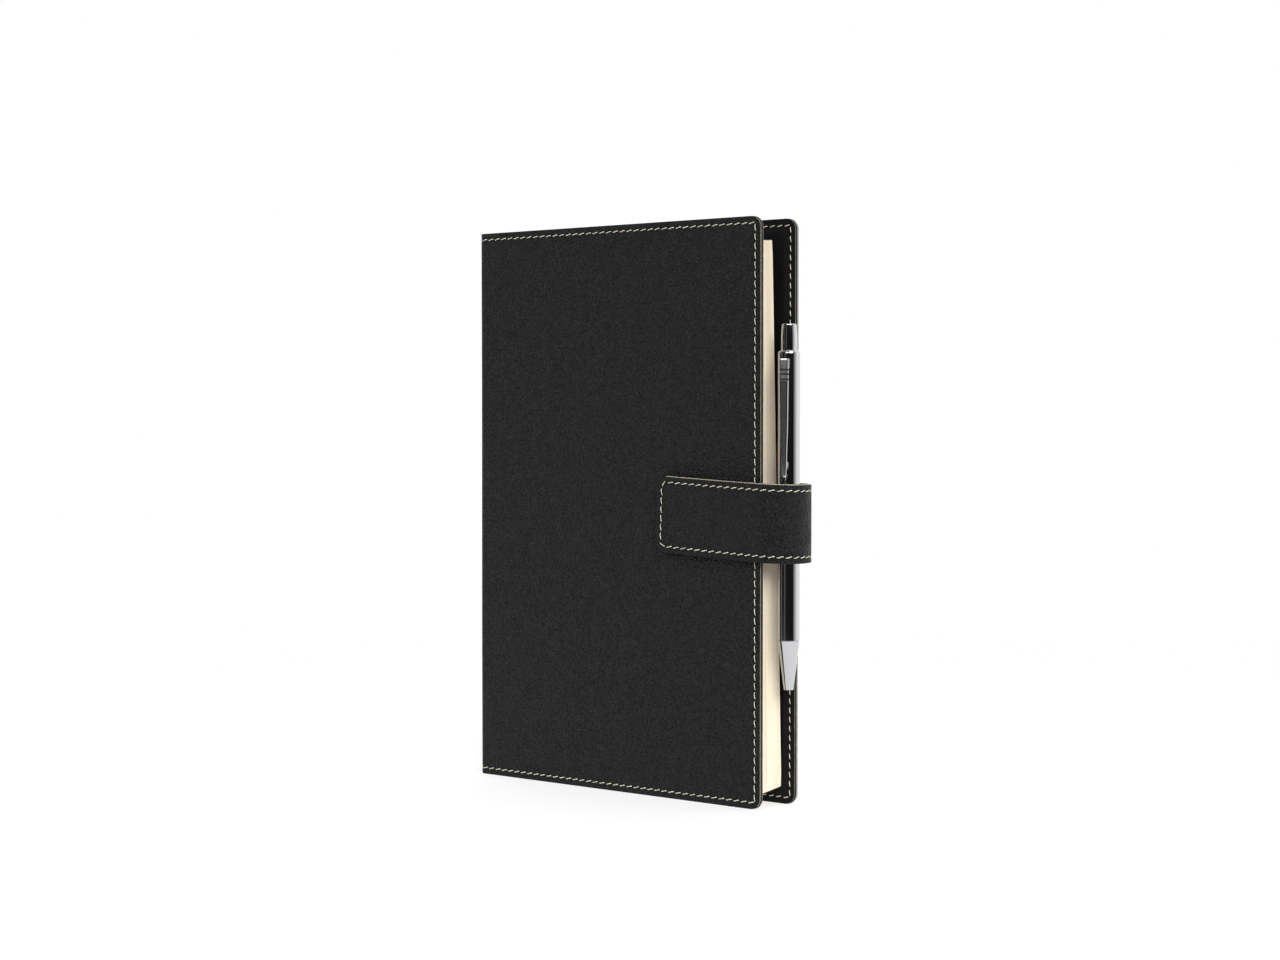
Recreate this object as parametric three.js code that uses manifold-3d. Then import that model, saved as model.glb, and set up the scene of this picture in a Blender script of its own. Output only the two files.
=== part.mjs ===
// A leather notebook cover with its paper insert, closing strap and retractable pen.
// Millimetres, +Z up. The notebook stands on its lower edges: X runs from the spine to the
// fore edge, and the front cover faces -Y. The origin is under the middle of the object.
import * as THREE from "three";
import { mergeVertices } from "three/addons/utils/BufferGeometryUtils.js";
import Module from "manifold-3d";

const wasm = await Module();
wasm.setup();

// ---- Driving dimensions ----------------------------------------------------------------

// Cover
const COVER_HEIGHT = 222;
const FRONT_WIDTH = 144; // from the spine's outer face to the front cover's fore edge
const BACK_OVERHANG = 3; // the back cover reaches this far past the front cover
const BOOK_THICKNESS = 20.5; // front cover's outer face to back cover's outer face
const CORNER_RADIUS = 4.3; // fore-edge corners, seen from the front
const SPINE_RADIUS = 3; // bends beside the spine, seen from the top
const LEATHER = 0.7;
const BOARD = 0.65;
const LINING = 0.35;
const GLUE = 0.05; // gap between layers that are glued or sewn together
const CLEARANCE = 0.3; // gap between pieces that move past each other

// Pockets, sewn to the lining on three sides and open towards the spine
const POCKET = 0.4;
const POCKET_WIDTH = 62;
const POCKET_SEAM = 3; // width of the sewn rim
const POCKET_ROOM = 0.5; // what the pocket stands off the lining to hold the card

// Stitching, which is drawn here as a raised line
const THREAD_WIDTH = 0.5;
const THREAD_HEIGHT = 0.25;
const SEAM_FROM_EDGE = 2.6; // along the top and the bottom
const SEAM_FROM_FORE_EDGE = 2.5;

// Paper insert
const PAGE_WIDTH = 130;
const PAGE_HEIGHT = 208;
const PAGE_BOTTOM = 5.6; // above the cover's lower edge
const PAGE_SETBACK = 4; // inside the front cover's fore edge
const SIGNATURES = 12;
const TURNED_SIGNATURES = 4; // those that turn with the front cover
const CARD = 0.4;
const CARD_MARGIN = 1.5; // the card covers are this much larger than the pages at top and bottom
const BINDING = 1;

// Strap
const STRAP_WIDTH = 29.6;
const STRAP_BOTTOM = 93.7;
const STRAP_THICKNESS = 2.2;
const STRAP_LEATHER = 0.8;
const STRAP_LINING = 0.6;
const STRAP_BULGE = 12.45; // how far the loop stands out past the front cover's fore edge
const TONGUE_LENGTH = 47.8; // on the front cover
const ANCHOR_LENGTH = 42; // sewn to the back cover
const STRAP_CORNER = 5;
const STRAP_SEAM = 2.5; // from the strap's edge
const MAGNET_SIDE = 12;
const MAGNET_FROM_END = 11; // from the tongue's end to the magnet's middle

// Pen
const PEN_PAST_EDGE = 6; // from the front cover's fore edge to the pen's axis
const PEN_BOTTOM = 44.8;
const PEN_LENGTH = 137.4;
const PEN_RADIUS = 4.15;
const PEN_BORE = 3.35;
const TIP_LENGTH = 18.4;
const TIP_END_RADIUS = 1.8;
const TIP_BASE_RADIUS = 4.1;
const BUTTON_HEIGHT = 10.3; // above the barrel
const BUTTON_RADIUS = 2.95;
const CLIP_DIRECTION = -72; // degrees about the pen's axis, from +X
const CLIP_WIDTH = 3.3;
const CLIP_LENGTH = 44.5;
const ROUND = 32; // facets around the pen

// ---- Worked out from them --------------------------------------------------------------

const HALF = BOOK_THICKNESS / 2;
const BACK_WIDTH = FRONT_WIDTH + BACK_OVERHANG;
const PANEL_START = SPINE_RADIUS + CLEARANCE;
const LOOP_END = FRONT_WIDTH + CLEARANCE + STRAP_BULGE + THREAD_HEIGHT;
const MIDDLE_X = (LOOP_END - THREAD_HEIGHT) / 2; // between the thread on the spine and on the loop

// Depth of each layer of a cover below its outer face
const BOARD_DEPTH = LEATHER + GLUE;
const LINING_DEPTH = BOARD_DEPTH + BOARD + GLUE;
const POCKET_DEPTH = LINING_DEPTH + LINING + GLUE;
const INSERT_DEPTH = POCKET_DEPTH + POCKET_ROOM + POCKET + CLEARANCE;

const PAGE_START = FRONT_WIDTH - PAGE_SETBACK - PAGE_WIDTH;
const SIGNATURE_PITCH = (2 * (HALF - INSERT_DEPTH) - CLEARANCE) / SIGNATURES;

const STRAP_MIDDLE = STRAP_BOTTOM + STRAP_WIDTH / 2;
const STRAP_INNER = HALF + CLEARANCE;
const TONGUE_START = FRONT_WIDTH - TONGUE_LENGTH;

const PEN_TOP = PEN_BOTTOM + PEN_LENGTH;
const BARREL_BOTTOM = PEN_BOTTOM + TIP_LENGTH + CLEARANCE;
const BARREL_TOP = PEN_TOP - BUTTON_HEIGHT;

// ---- Materials -------------------------------------------------------------------------

function material(color, roughness, metalness = 0) {
  return new THREE.MeshStandardMaterial({ color, roughness, metalness });
}

const leather = material(0x232325, 0.6);
const lining = material(0x1c1c1e, 0.75);
const greyBoard = material(0x5b5e58, 0.9);
const thread = material(0xd8d0bb, 0.8);
const paper = material(0xf0dfc0, 0.9);
const card = material(0x242321, 0.8);
const bindingCloth = material(0xe6e0d0, 0.9);
const magnet = material(0x9a9a9c, 0.35, 1);
const chrome = material(0xcfd1d4, 0.12, 1);
const steel = material(0xb4b6b9, 0.3, 1);
const brass = material(0xb8934e, 0.3, 1);

// ---- Building blocks -------------------------------------------------------------------

const book = new THREE.Group();
book.position.x = -MIDDLE_X;

function add(name, geometry, finish, parent = book) {
  const mesh = new THREE.Mesh(geometry, finish);
  mesh.name = name;
  parent.add(mesh);
  return mesh;
}

// An outline on the X-Z plane, with its right-hand corners rounded if rightRadius is given
// and its left-hand ones if leftRadius is.
function outline(left, right, bottom, top, rightRadius = 0, leftRadius = 0) {
  const shape = new THREE.Shape();
  shape.moveTo(left + leftRadius, bottom);
  shape.lineTo(right - rightRadius, bottom);
  if (rightRadius) {
    shape.absarc(right - rightRadius, bottom + rightRadius, rightRadius, -Math.PI / 2, 0);
    shape.lineTo(right, top - rightRadius);
    shape.absarc(right - rightRadius, top - rightRadius, rightRadius, 0, Math.PI / 2);
  } else {
    shape.lineTo(right, bottom);
    shape.lineTo(right, top);
  }
  shape.lineTo(left + leftRadius, top);
  if (leftRadius) {
    shape.absarc(left + leftRadius, top - leftRadius, leftRadius, Math.PI / 2, Math.PI);
    shape.lineTo(left, bottom + leftRadius);
    shape.absarc(left + leftRadius, bottom + leftRadius, leftRadius, Math.PI, 1.5 * Math.PI);
  } else {
    shape.lineTo(left, top);
    shape.lineTo(left, bottom);
  }
  return shape;
}

// The outline made into a sheet between two depths below a cover's outer face. side is -1
// for the front cover, whose depth runs towards +Y, and 1 for the back cover.
function sheet(shape, side, outerDepth, innerDepth) {
  const geometry = new THREE.ExtrudeGeometry(shape, {
    depth: innerDepth - outerDepth,
    bevelEnabled: false,
    curveSegments: 8,
  });
  geometry.rotateX(Math.PI / 2);
  const nearEnd = side < 0 ? -HALF + innerDepth : HALF - outerDepth;
  return geometry.translate(0, nearEnd, 0);
}

// A profile on the X-Y plane, drawn upwards from one height to another.
function column(shape, bottom, top) {
  const geometry = new THREE.ExtrudeGeometry(shape, {
    depth: top - bottom,
    bevelEnabled: false,
    curveSegments: 12,
  });
  return geometry.translate(0, 0, bottom);
}

function solid(geometry) {
  const bare = geometry.clone();
  bare.deleteAttribute("normal");
  bare.deleteAttribute("uv");
  const merged = mergeVertices(bare, 1e-5);
  const mesh = new wasm.Mesh({
    numProp: 3,
    vertProperties: merged.attributes.position.array,
    triVerts: new Uint32Array(merged.index.array),
  });
  return new wasm.Manifold(mesh);
}

function geometryOf(manifold) {
  const mesh = manifold.getMesh();
  const geometry = new THREE.BufferGeometry();
  geometry.setAttribute("position", new THREE.BufferAttribute(mesh.vertProperties, 3));
  geometry.setIndex(new THREE.BufferAttribute(mesh.triVerts, 1));
  geometry.computeVertexNormals();
  return geometry;
}

function squareHole(middleX, middleZ, side) {
  const hole = new THREE.Path();
  hole.moveTo(middleX - side / 2, middleZ - side / 2);
  hole.lineTo(middleX - side / 2, middleZ + side / 2);
  hole.lineTo(middleX + side / 2, middleZ + side / 2);
  hole.lineTo(middleX + side / 2, middleZ - side / 2);
  hole.closePath();
  return hole;
}

// ---- Covers ----------------------------------------------------------------------------

// Everything that the front and back covers have alike: leather, board, lining and pocket.
function cover(name, side, width, boardHole) {
  const whole = outline(PANEL_START, width, 0, COVER_HEIGHT, CORNER_RADIUS);
  add(`${name}_leather`, sheet(whole, side, 0, LEATHER), leather);

  const boardOutline = outline(PANEL_START, width, 0, COVER_HEIGHT, CORNER_RADIUS);
  if (boardHole) {
    boardOutline.holes.push(boardHole);
  }
  add(`${name}_board`, sheet(boardOutline, side, BOARD_DEPTH, BOARD_DEPTH + BOARD), greyBoard);
  add(`${name}_lining`, sheet(whole, side, LINING_DEPTH, LINING_DEPTH + LINING), lining);
  add(`${name}_pocket`, pocket(side, width), lining);
}

// The pocket is one sheet. Its rim lies on the lining, and inside the rim it stands off by
// the room for the card.
function pocket(side, width) {
  const left = width - POCKET_WIDTH;
  const seam = POCKET_SEAM;
  const block = sheet(
    outline(left, width, 0, COVER_HEIGHT, CORNER_RADIUS),
    side,
    POCKET_DEPTH,
    POCKET_DEPTH + POCKET_ROOM + POCKET,
  );
  const room = sheet(
    outline(left - 1, width - seam - POCKET, seam + POCKET, COVER_HEIGHT - seam - POCKET),
    side,
    POCKET_DEPTH - 1,
    POCKET_DEPTH + POCKET_ROOM,
  );
  const aroundPanel = outline(left - 1, width + 1, -1, COVER_HEIGHT + 1);
  aroundPanel.holes.push(outline(left - 0.5, width - seam, seam, COVER_HEIGHT - seam));
  const step = sheet(aroundPanel, side, POCKET_DEPTH + POCKET, POCKET_DEPTH + 3);
  return geometryOf(solid(block).subtract(solid(room)).subtract(solid(step)));
}

// A U-shaped seam along the top, the fore edge and the bottom of a cover.
function coverSeam(width) {
  const start = PANEL_START;
  const outer = THREAD_WIDTH / 2;
  const right = width - SEAM_FROM_FORE_EDGE;
  const top = COVER_HEIGHT - SEAM_FROM_EDGE;
  const seam = new THREE.Shape();
  seam.moveTo(start, SEAM_FROM_EDGE - outer);
  seam.lineTo(right + outer, SEAM_FROM_EDGE - outer);
  seam.lineTo(right + outer, top + outer);
  seam.lineTo(start, top + outer);
  seam.lineTo(start, top - outer);
  seam.lineTo(right - outer, top - outer);
  seam.lineTo(right - outer, SEAM_FROM_EDGE + outer);
  seam.lineTo(start, SEAM_FROM_EDGE + outer);
  seam.closePath();
  return seam;
}

// The seam on the inside runs over the pocket's rim only, so it starts at the pocket's mouth.
function pocketSeam(width) {
  const seam = coverSeam(width);
  for (const curve of seam.curves) {
    for (const point of [curve.v1, curve.v2]) {
      point.x = Math.max(point.x, width - POCKET_WIDTH + 1);
    }
  }
  return seam;
}

const magnetX = TONGUE_START + MAGNET_FROM_END;
const magnetHole = squareHole(magnetX, STRAP_MIDDLE, MAGNET_SIDE + 2 * CLEARANCE);
cover("front", -1, FRONT_WIDTH, magnetHole);
cover("back", 1, BACK_WIDTH);

for (const [name, side, width] of [["front", -1, FRONT_WIDTH], ["back", 1, BACK_WIDTH]]) {
  add(`${name}_stitching`, sheet(coverSeam(width), side, -THREAD_HEIGHT, 0), thread);
  const rim = POCKET_DEPTH + POCKET;
  add(`${name}_pocket_stitching`, sheet(pocketSeam(width), side, rim, rim + THREAD_HEIGHT), thread);
}

// The steel plate that the tongue's magnet holds on to, in the front board.
const half = MAGNET_SIDE / 2;
const plateOutline = outline(
  magnetX - half, magnetX + half, STRAP_MIDDLE - half, STRAP_MIDDLE + half,
);
add("front_steel_plate", sheet(plateOutline, -1, BOARD_DEPTH, BOARD_DEPTH + BOARD), steel);

// ---- Spine -----------------------------------------------------------------------------

// A layer that follows the spine's outside and both its rounded bends. from and to are
// measured inwards from the outer face, and negative ones lie outside it.
function spineWrap(from, to) {
  const bend = SPINE_RADIUS;
  const shape = new THREE.Shape();
  shape.moveTo(bend, -HALF + from);
  shape.absarc(bend, -HALF + bend, bend - from, -Math.PI / 2, -Math.PI, true);
  shape.lineTo(from, HALF - bend);
  shape.absarc(bend, HALF - bend, bend - from, Math.PI, Math.PI / 2, true);
  shape.lineTo(bend, HALF - to);
  shape.absarc(bend, HALF - bend, bend - to, Math.PI / 2, Math.PI);
  shape.lineTo(to, -HALF + bend);
  shape.absarc(bend, -HALF + bend, bend - to, Math.PI, 1.5 * Math.PI);
  shape.closePath();
  return shape;
}

function spineStrip(depth, thickness) {
  const flat = HALF - SPINE_RADIUS;
  return outline(depth, depth + thickness, -flat, flat);
}

add("spine_leather", column(spineWrap(0, LEATHER), 0, COVER_HEIGHT), leather);
add("spine_board", column(spineStrip(BOARD_DEPTH, BOARD), 0, COVER_HEIGHT), greyBoard);
add("spine_lining", column(spineStrip(LINING_DEPTH, LINING), 0, COVER_HEIGHT), lining);
for (const [name, z] of [["upper", COVER_HEIGHT - SEAM_FROM_EDGE], ["lower", SEAM_FROM_EDGE]]) {
  const seam = column(spineWrap(-THREAD_HEIGHT, 0), z - THREAD_WIDTH / 2, z + THREAD_WIDTH / 2);
  add(`spine_stitching_${name}`, seam, thread);
}

// ---- Paper insert ----------------------------------------------------------------------

// A folded section of leaves, with its fold rounded towards the spine.
function signature(y, thickness) {
  const radius = thickness / 2;
  const shape = new THREE.Shape();
  shape.moveTo(PAGE_START + radius, y);
  shape.lineTo(PAGE_START + PAGE_WIDTH, y);
  shape.lineTo(PAGE_START + PAGE_WIDTH, y + thickness);
  shape.lineTo(PAGE_START + radius, y + thickness);
  shape.absarc(PAGE_START + radius, y + radius, radius, Math.PI / 2, 1.5 * Math.PI);
  return column(shape, PAGE_BOTTOM, PAGE_BOTTOM + PAGE_HEIGHT);
}

const firstLeaf = -HALF + INSERT_DEPTH;
for (let i = 0; i < SIGNATURES; i += 1) {
  const past = i < TURNED_SIGNATURES ? 0 : CLEARANCE;
  const y = firstLeaf + i * SIGNATURE_PITCH + past;
  const name = `signature_${String(i + 1).padStart(2, "0")}`;
  add(name, signature(y, SIGNATURE_PITCH - GLUE), paper);
}

// The cloth strip glued over the folds of the signatures that stay with the back cover.
const bindingFront = firstLeaf + TURNED_SIGNATURES * SIGNATURE_PITCH + CLEARANCE;
const strip = outline(
  PAGE_START - GLUE - BINDING, PAGE_START - GLUE, bindingFront, HALF - INSERT_DEPTH,
);
add("insert_binding", column(strip, PAGE_BOTTOM + 1, PAGE_BOTTOM + PAGE_HEIGHT - 1), bindingCloth);

// The insert's card covers, which slide into the pockets.
for (const [name, side, width] of [["front", -1, FRONT_WIDTH], ["back", 1, BACK_WIDTH]]) {
  const cardOutline = outline(
    PAGE_START,
    width - POCKET_SEAM - POCKET - CLEARANCE,
    PAGE_BOTTOM - CARD_MARGIN,
    PAGE_BOTTOM + PAGE_HEIGHT + CARD_MARGIN,
    CORNER_RADIUS / 2,
  );
  const depth = POCKET_DEPTH + GLUE / 2;
  add(`insert_card_${name}`, sheet(cardOutline, side, depth, depth + CARD), card);
}

// ---- Strap -----------------------------------------------------------------------------

// One layer of the loop, seen from the top: it starts flush on the tongue's side, goes round
// the pen as two quarter ellipses and runs back along the back cover. from and to are
// measured from the strap's outer face.
function loopLayer(from, to, start, end) {
  const back = BACK_WIDTH + CLEARANCE;
  const front = FRONT_WIDTH + CLEARANCE;
  const reachY = STRAP_INNER + STRAP_THICKNESS;
  const tipX = front + STRAP_BULGE;
  const quarter = Math.PI / 2;
  const shape = new THREE.Shape();
  shape.moveTo(start, -reachY + from);
  shape.lineTo(front, -reachY + from);
  shape.absellipse(front, 0, tipX - front - from, reachY - from, -quarter, 0);
  shape.absellipse(back, 0, tipX - back - from, reachY - from, 0, quarter);
  shape.lineTo(end, reachY - from);
  shape.lineTo(end, reachY - to);
  shape.lineTo(back, reachY - to);
  shape.absellipse(back, 0, tipX - back - to, reachY - to, quarter, 0, true);
  shape.absellipse(front, 0, tipX - front - to, reachY - to, 0, -quarter, true);
  shape.lineTo(start, -reachY + to);
  shape.closePath();
  return shape;
}

const loopStart = FRONT_WIDTH + CLEARANCE - 0.05;
const anchorEnd = BACK_WIDTH - ANCHOR_LENGTH;
const strapTop = STRAP_BOTTOM + STRAP_WIDTH;
const loopLining = STRAP_THICKNESS - STRAP_LEATHER - GLUE;
const leatherBand = loopLayer(0, STRAP_LEATHER, loopStart, anchorEnd);
const liningBand = loopLayer(STRAP_THICKNESS - loopLining, STRAP_THICKNESS, loopStart, anchorEnd);
add("strap_loop_leather", column(leatherBand, STRAP_BOTTOM, strapTop), leather);
add("strap_loop_lining", column(liningBand, STRAP_BOTTOM, strapTop), lining);

const loopSeams = [["upper", strapTop - STRAP_SEAM], ["lower", STRAP_BOTTOM + STRAP_SEAM]];
for (const [name, z] of loopSeams) {
  const band = loopLayer(-THREAD_HEIGHT, 0, loopStart, anchorEnd + STRAP_SEAM);
  const seam = column(band, z - THREAD_WIDTH / 2, z + THREAD_WIDTH / 2);
  add(`strap_stitching_${name}`, seam, thread);
}

// The tongue lies on the front cover. Its layers are given by their depth below its face.
const tongueDepth = -(CLEARANCE + STRAP_THICKNESS);
const coreDepth = STRAP_LEATHER + GLUE;
const tongueLiningDepth = STRAP_THICKNESS - STRAP_LINING;

function tongueOutline(inset = 0) {
  return outline(
    TONGUE_START + inset,
    FRONT_WIDTH,
    STRAP_BOTTOM + inset,
    strapTop - inset,
    0,
    STRAP_CORNER - inset,
  );
}

function tongueSheet(shape, from, to) {
  return sheet(shape, -1, tongueDepth + from, tongueDepth + to);
}

add("tongue_leather", tongueSheet(tongueOutline(), 0, STRAP_LEATHER), leather);
const core = tongueOutline();
core.holes.push(squareHole(magnetX, STRAP_MIDDLE, MAGNET_SIDE + 2 * CLEARANCE));
add("tongue_core", tongueSheet(core, coreDepth, tongueLiningDepth - GLUE), greyBoard);
add("tongue_lining", tongueSheet(tongueOutline(), tongueLiningDepth, STRAP_THICKNESS), lining);
add("tongue_magnet", tongueSheet(plateOutline, coreDepth, tongueLiningDepth - GLUE), magnet);

// The tongue's seam is a U that is open towards the loop.
function tongueSeam() {
  const left = TONGUE_START + STRAP_SEAM;
  const bottom = STRAP_BOTTOM + STRAP_SEAM;
  const top = strapTop - STRAP_SEAM;
  const right = FRONT_WIDTH - 2;
  const wide = THREAD_WIDTH / 2;
  const radius = STRAP_CORNER - STRAP_SEAM;
  const quarter = Math.PI / 2;
  const shape = new THREE.Shape();
  shape.moveTo(right, bottom - wide);
  shape.lineTo(right, bottom + wide);
  shape.absarc(left + radius, bottom + radius, radius - wide, -quarter, -2 * quarter, true);
  shape.absarc(left + radius, top - radius, radius - wide, 2 * quarter, quarter, true);
  shape.lineTo(right, top - wide);
  shape.lineTo(right, top + wide);
  shape.absarc(left + radius, top - radius, radius + wide, quarter, 2 * quarter);
  shape.absarc(left + radius, bottom + radius, radius + wide, 2 * quarter, 3 * quarter);
  shape.closePath();
  return shape;
}

add("tongue_stitching", tongueSheet(tongueSeam(), -THREAD_HEIGHT, 0), thread);

// ---- Pen -------------------------------------------------------------------------------

const pen = new THREE.Group();
pen.position.set(FRONT_WIDTH + PEN_PAST_EDGE, 0, 0);
book.add(pen);

// Turns a list of [radius, height] round the pen's axis. The list closes on itself, or
// starts and ends on the axis.
function turned(profile, closed = false) {
  const points = profile.map(([radius, height]) => new THREE.Vector2(radius, height));
  if (closed) {
    points.push(points[0].clone());
  }
  return new THREE.LatheGeometry(points, ROUND).rotateX(Math.PI / 2);
}

const shoulder = BARREL_TOP - 1.1;
add("pen_barrel", turned([
  [PEN_BORE, BARREL_BOTTOM],
  [PEN_RADIUS, BARREL_BOTTOM],
  [PEN_RADIUS, shoulder],
  [PEN_RADIUS - 0.25, BARREL_TOP - 0.3],
  [PEN_RADIUS - 0.75, BARREL_TOP],
  [BUTTON_RADIUS + 0.1, BARREL_TOP],
  [BUTTON_RADIUS + 0.1, BARREL_TOP - 2],
  [PEN_BORE, BARREL_TOP - 2],
], true), chrome, pen);

const springSeat = PEN_BOTTOM + 9.4;
const tipTop = PEN_BOTTOM + TIP_LENGTH;
const spigotTop = tipTop + 5;
const noseBore = 1.35;
const springRoom = 2.4;
add("pen_tip", turned([
  [noseBore, PEN_BOTTOM],
  [TIP_END_RADIUS, PEN_BOTTOM],
  [TIP_BASE_RADIUS, tipTop],
  [PEN_BORE - 0.2, tipTop],
  [PEN_BORE - 0.2, spigotTop],
  [springRoom, spigotTop],
  [springRoom, springSeat],
  [noseBore, springSeat],
], true), chrome, pen);

const collar = springSeat + 14;
const refillTop = BARREL_TOP - 14.5;
const refillNose = PEN_BOTTOM + 7.5;
add("pen_refill", turned([
  [0, refillNose],
  [1.1, refillNose],
  [1.1, collar],
  [2.1, collar],
  [2.1, collar + 1.5],
  [1.6, collar + 1.5],
  [1.6, refillTop],
  [0, refillTop],
]), brass, pen);

const ballBottom = PEN_BOTTOM + 1.4;
add("pen_ball_tip", turned([
  [0, ballBottom],
  [0.4, ballBottom + 0.1],
  [0.5, ballBottom + 0.6],
  [1.1, ballBottom + 3],
  [1.1, refillNose - GLUE],
  [0, refillNose - GLUE],
]), steel, pen);

// The return spring, a round wire wound round the refill between the tip and the collar.
class Helix extends THREE.Curve {
  constructor(radius, bottom, top, turns) {
    super();
    Object.assign(this, { radius, bottom, top, turns });
  }

  getPoint(t) {
    const angle = 2 * Math.PI * this.turns * t;
    const z = this.bottom + (this.top - this.bottom) * t;
    return new THREE.Vector3(this.radius * Math.cos(angle), this.radius * Math.sin(angle), z);
  }
}

const wireRadius = 0.18;
const springTurns = 7;
const wire = new THREE.Shape().absarc(0, 0, wireRadius, 0, 2 * Math.PI);
const springGeometry = new THREE.ExtrudeGeometry(wire, {
  steps: springTurns * 14,
  curveSegments: 6,
  bevelEnabled: false,
  extrudePath: new Helix(
    1.7, springSeat + CLEARANCE + wireRadius, collar - CLEARANCE - wireRadius, springTurns,
  ),
});
add("pen_spring", springGeometry, steel, pen);

const flangeBottom = BARREL_TOP - 7;
add("pen_button", turned([
  [0, flangeBottom],
  [PEN_BORE - 0.2, flangeBottom],
  [PEN_BORE - 0.2, BARREL_TOP - 2.4],
  [BUTTON_RADIUS - 0.1, BARREL_TOP - 2.4],
  [BUTTON_RADIUS - 0.1, BARREL_TOP + 0.6],
  [BUTTON_RADIUS, BARREL_TOP + 0.6],
  [BUTTON_RADIUS, BARREL_TOP + 4.5],
  [BUTTON_RADIUS - 0.3, PEN_TOP - 1],
  [BUTTON_RADIUS - 0.9, PEN_TOP - 0.2],
  [0, PEN_TOP],
]), chrome, pen);

// The cam that the button turns, which pushes the refill and locks it out or lets it back.
add("pen_cam", turned([
  [0, refillTop + 0.2],
  [2, refillTop + 0.2],
  [2, refillTop + 3],
  [2.9, refillTop + 3.6],
  [2.9, flangeBottom - 0.2],
  [0, flangeBottom - 0.2],
]), brass, pen);

// The clip: a bent strip, drawn as its side view on the radius-height plane.
const clipTop = BARREL_TOP - 2.6;
const clipBottom = clipTop - CLIP_LENGTH;
const clipFoot = PEN_RADIUS + CLEARANCE;
const clipSide = new THREE.Shape();
clipSide.moveTo(clipFoot, clipTop);
clipSide.lineTo(clipFoot + 1.8, clipTop);
clipSide.lineTo(clipFoot + 2.2, clipTop - 0.5);
clipSide.lineTo(clipFoot + 2, clipBottom + 6.5);
clipSide.quadraticCurveTo(clipFoot + 1.9, clipBottom + 3, clipFoot + 1.2, clipBottom + 0.5);
clipSide.quadraticCurveTo(clipFoot + 0.7, clipBottom - 0.3, clipFoot + 0.1, clipBottom + 0.7);
clipSide.quadraticCurveTo(clipFoot + 0.9, clipBottom + 4, clipFoot + 1.1, clipBottom + 8);
clipSide.lineTo(clipFoot + 1.3, clipTop - 4.5);
clipSide.lineTo(clipFoot, clipTop - 3);
clipSide.closePath();
const clipGeometry = new THREE.ExtrudeGeometry(clipSide, {
  depth: CLIP_WIDTH,
  bevelEnabled: false,
  curveSegments: 5,
});
clipGeometry.rotateX(Math.PI / 2);
clipGeometry.translate(0, CLIP_WIDTH / 2, 0);
const clip = add("pen_clip", clipGeometry, chrome, pen);
clip.rotation.z = THREE.MathUtils.degToRad(CLIP_DIRECTION);

export default book;
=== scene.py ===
import bmesh
import bpy
import numpy as np
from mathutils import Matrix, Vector


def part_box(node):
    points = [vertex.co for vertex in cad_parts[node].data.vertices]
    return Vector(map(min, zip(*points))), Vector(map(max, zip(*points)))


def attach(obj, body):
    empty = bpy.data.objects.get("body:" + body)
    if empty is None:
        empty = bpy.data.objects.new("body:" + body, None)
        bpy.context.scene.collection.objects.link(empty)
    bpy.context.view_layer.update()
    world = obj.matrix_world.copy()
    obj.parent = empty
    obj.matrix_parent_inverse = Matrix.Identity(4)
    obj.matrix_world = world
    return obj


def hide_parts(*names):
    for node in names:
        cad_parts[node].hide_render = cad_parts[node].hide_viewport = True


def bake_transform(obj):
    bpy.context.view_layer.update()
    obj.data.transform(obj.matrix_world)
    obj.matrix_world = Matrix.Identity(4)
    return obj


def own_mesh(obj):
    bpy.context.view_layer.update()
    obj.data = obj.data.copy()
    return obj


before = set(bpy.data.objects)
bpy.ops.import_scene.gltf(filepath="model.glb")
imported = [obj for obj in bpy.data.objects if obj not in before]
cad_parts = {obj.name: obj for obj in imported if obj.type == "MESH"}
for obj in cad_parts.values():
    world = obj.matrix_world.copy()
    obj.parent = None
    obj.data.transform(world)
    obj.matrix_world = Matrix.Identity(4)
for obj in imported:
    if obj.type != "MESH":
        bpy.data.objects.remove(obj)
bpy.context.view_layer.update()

# ---- Leatherette skin of the cover -------------------------------------------------------
# One sheet of black coated cloth runs from the front fore edge round the spine to the back
# fore edge. Its cut edge shows the black coating over a thin cream backing cloth. It is made
# here as two halves that meet in the middle of the spine, so that each bends at one crease.

MM = 0.001
spine_low, spine_high = (np.array(c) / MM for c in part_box("spine_leather"))
front_low, front_high = (np.array(c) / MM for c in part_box("front_leather"))
back_low, back_high = (np.array(c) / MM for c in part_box("back_leather"))
cover_height = front_high[2]
half_thickness = back_high[1]
spine_x = spine_low[0]
bend_radius = 3.0
spine_flat = half_thickness - bend_radius
bend_length = bend_radius * np.pi / 2
corner_radius = 4.3
front_edge = spine_flat + bend_length + front_high[0] - spine_x - bend_radius
back_edge = spine_flat + bend_length + back_high[0] - spine_x - bend_radius
seam_from_edge = 2.6
seam_from_fore_edge = 2.2


def new_material(name, color, roughness, metallic=0.0, specular=0.5):
    """A material whose uniform values sit on the shader's own sockets."""
    material = bpy.data.materials.new(name)
    material.use_nodes = True
    shader = material.node_tree.nodes["Principled BSDF"]
    shader.inputs["Base Color"].default_value = (*color, 1)
    shader.inputs["Roughness"].default_value = roughness
    shader.inputs["Metallic"].default_value = metallic
    shader.inputs["Specular IOR Level"].default_value = specular
    return material


def add_node(material, kind, inputs=(), **settings):
    """A node of that kind with its settings. inputs gives values or output sockets."""
    node = material.node_tree.nodes.new("ShaderNode" + kind)
    for key, value in settings.items():
        setattr(node, key, value)
    for key, value in dict(inputs).items():
        if isinstance(value, bpy.types.NodeSocket):
            material.node_tree.links.new(value, node.inputs[key])
        else:
            node.inputs[key].default_value = value
    return node


def place_on(material, coordinates="Object", scale=(1, 1, 1), turn=(0, 0, 0)):
    """The piece's own coordinates, stretched and turned."""
    source = add_node(material, "TexCoord")
    mapping = add_node(material, "Mapping", {
        "Vector": source.outputs[coordinates], "Scale": scale, "Rotation": turn,
    })
    return mapping.outputs["Vector"]


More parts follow.
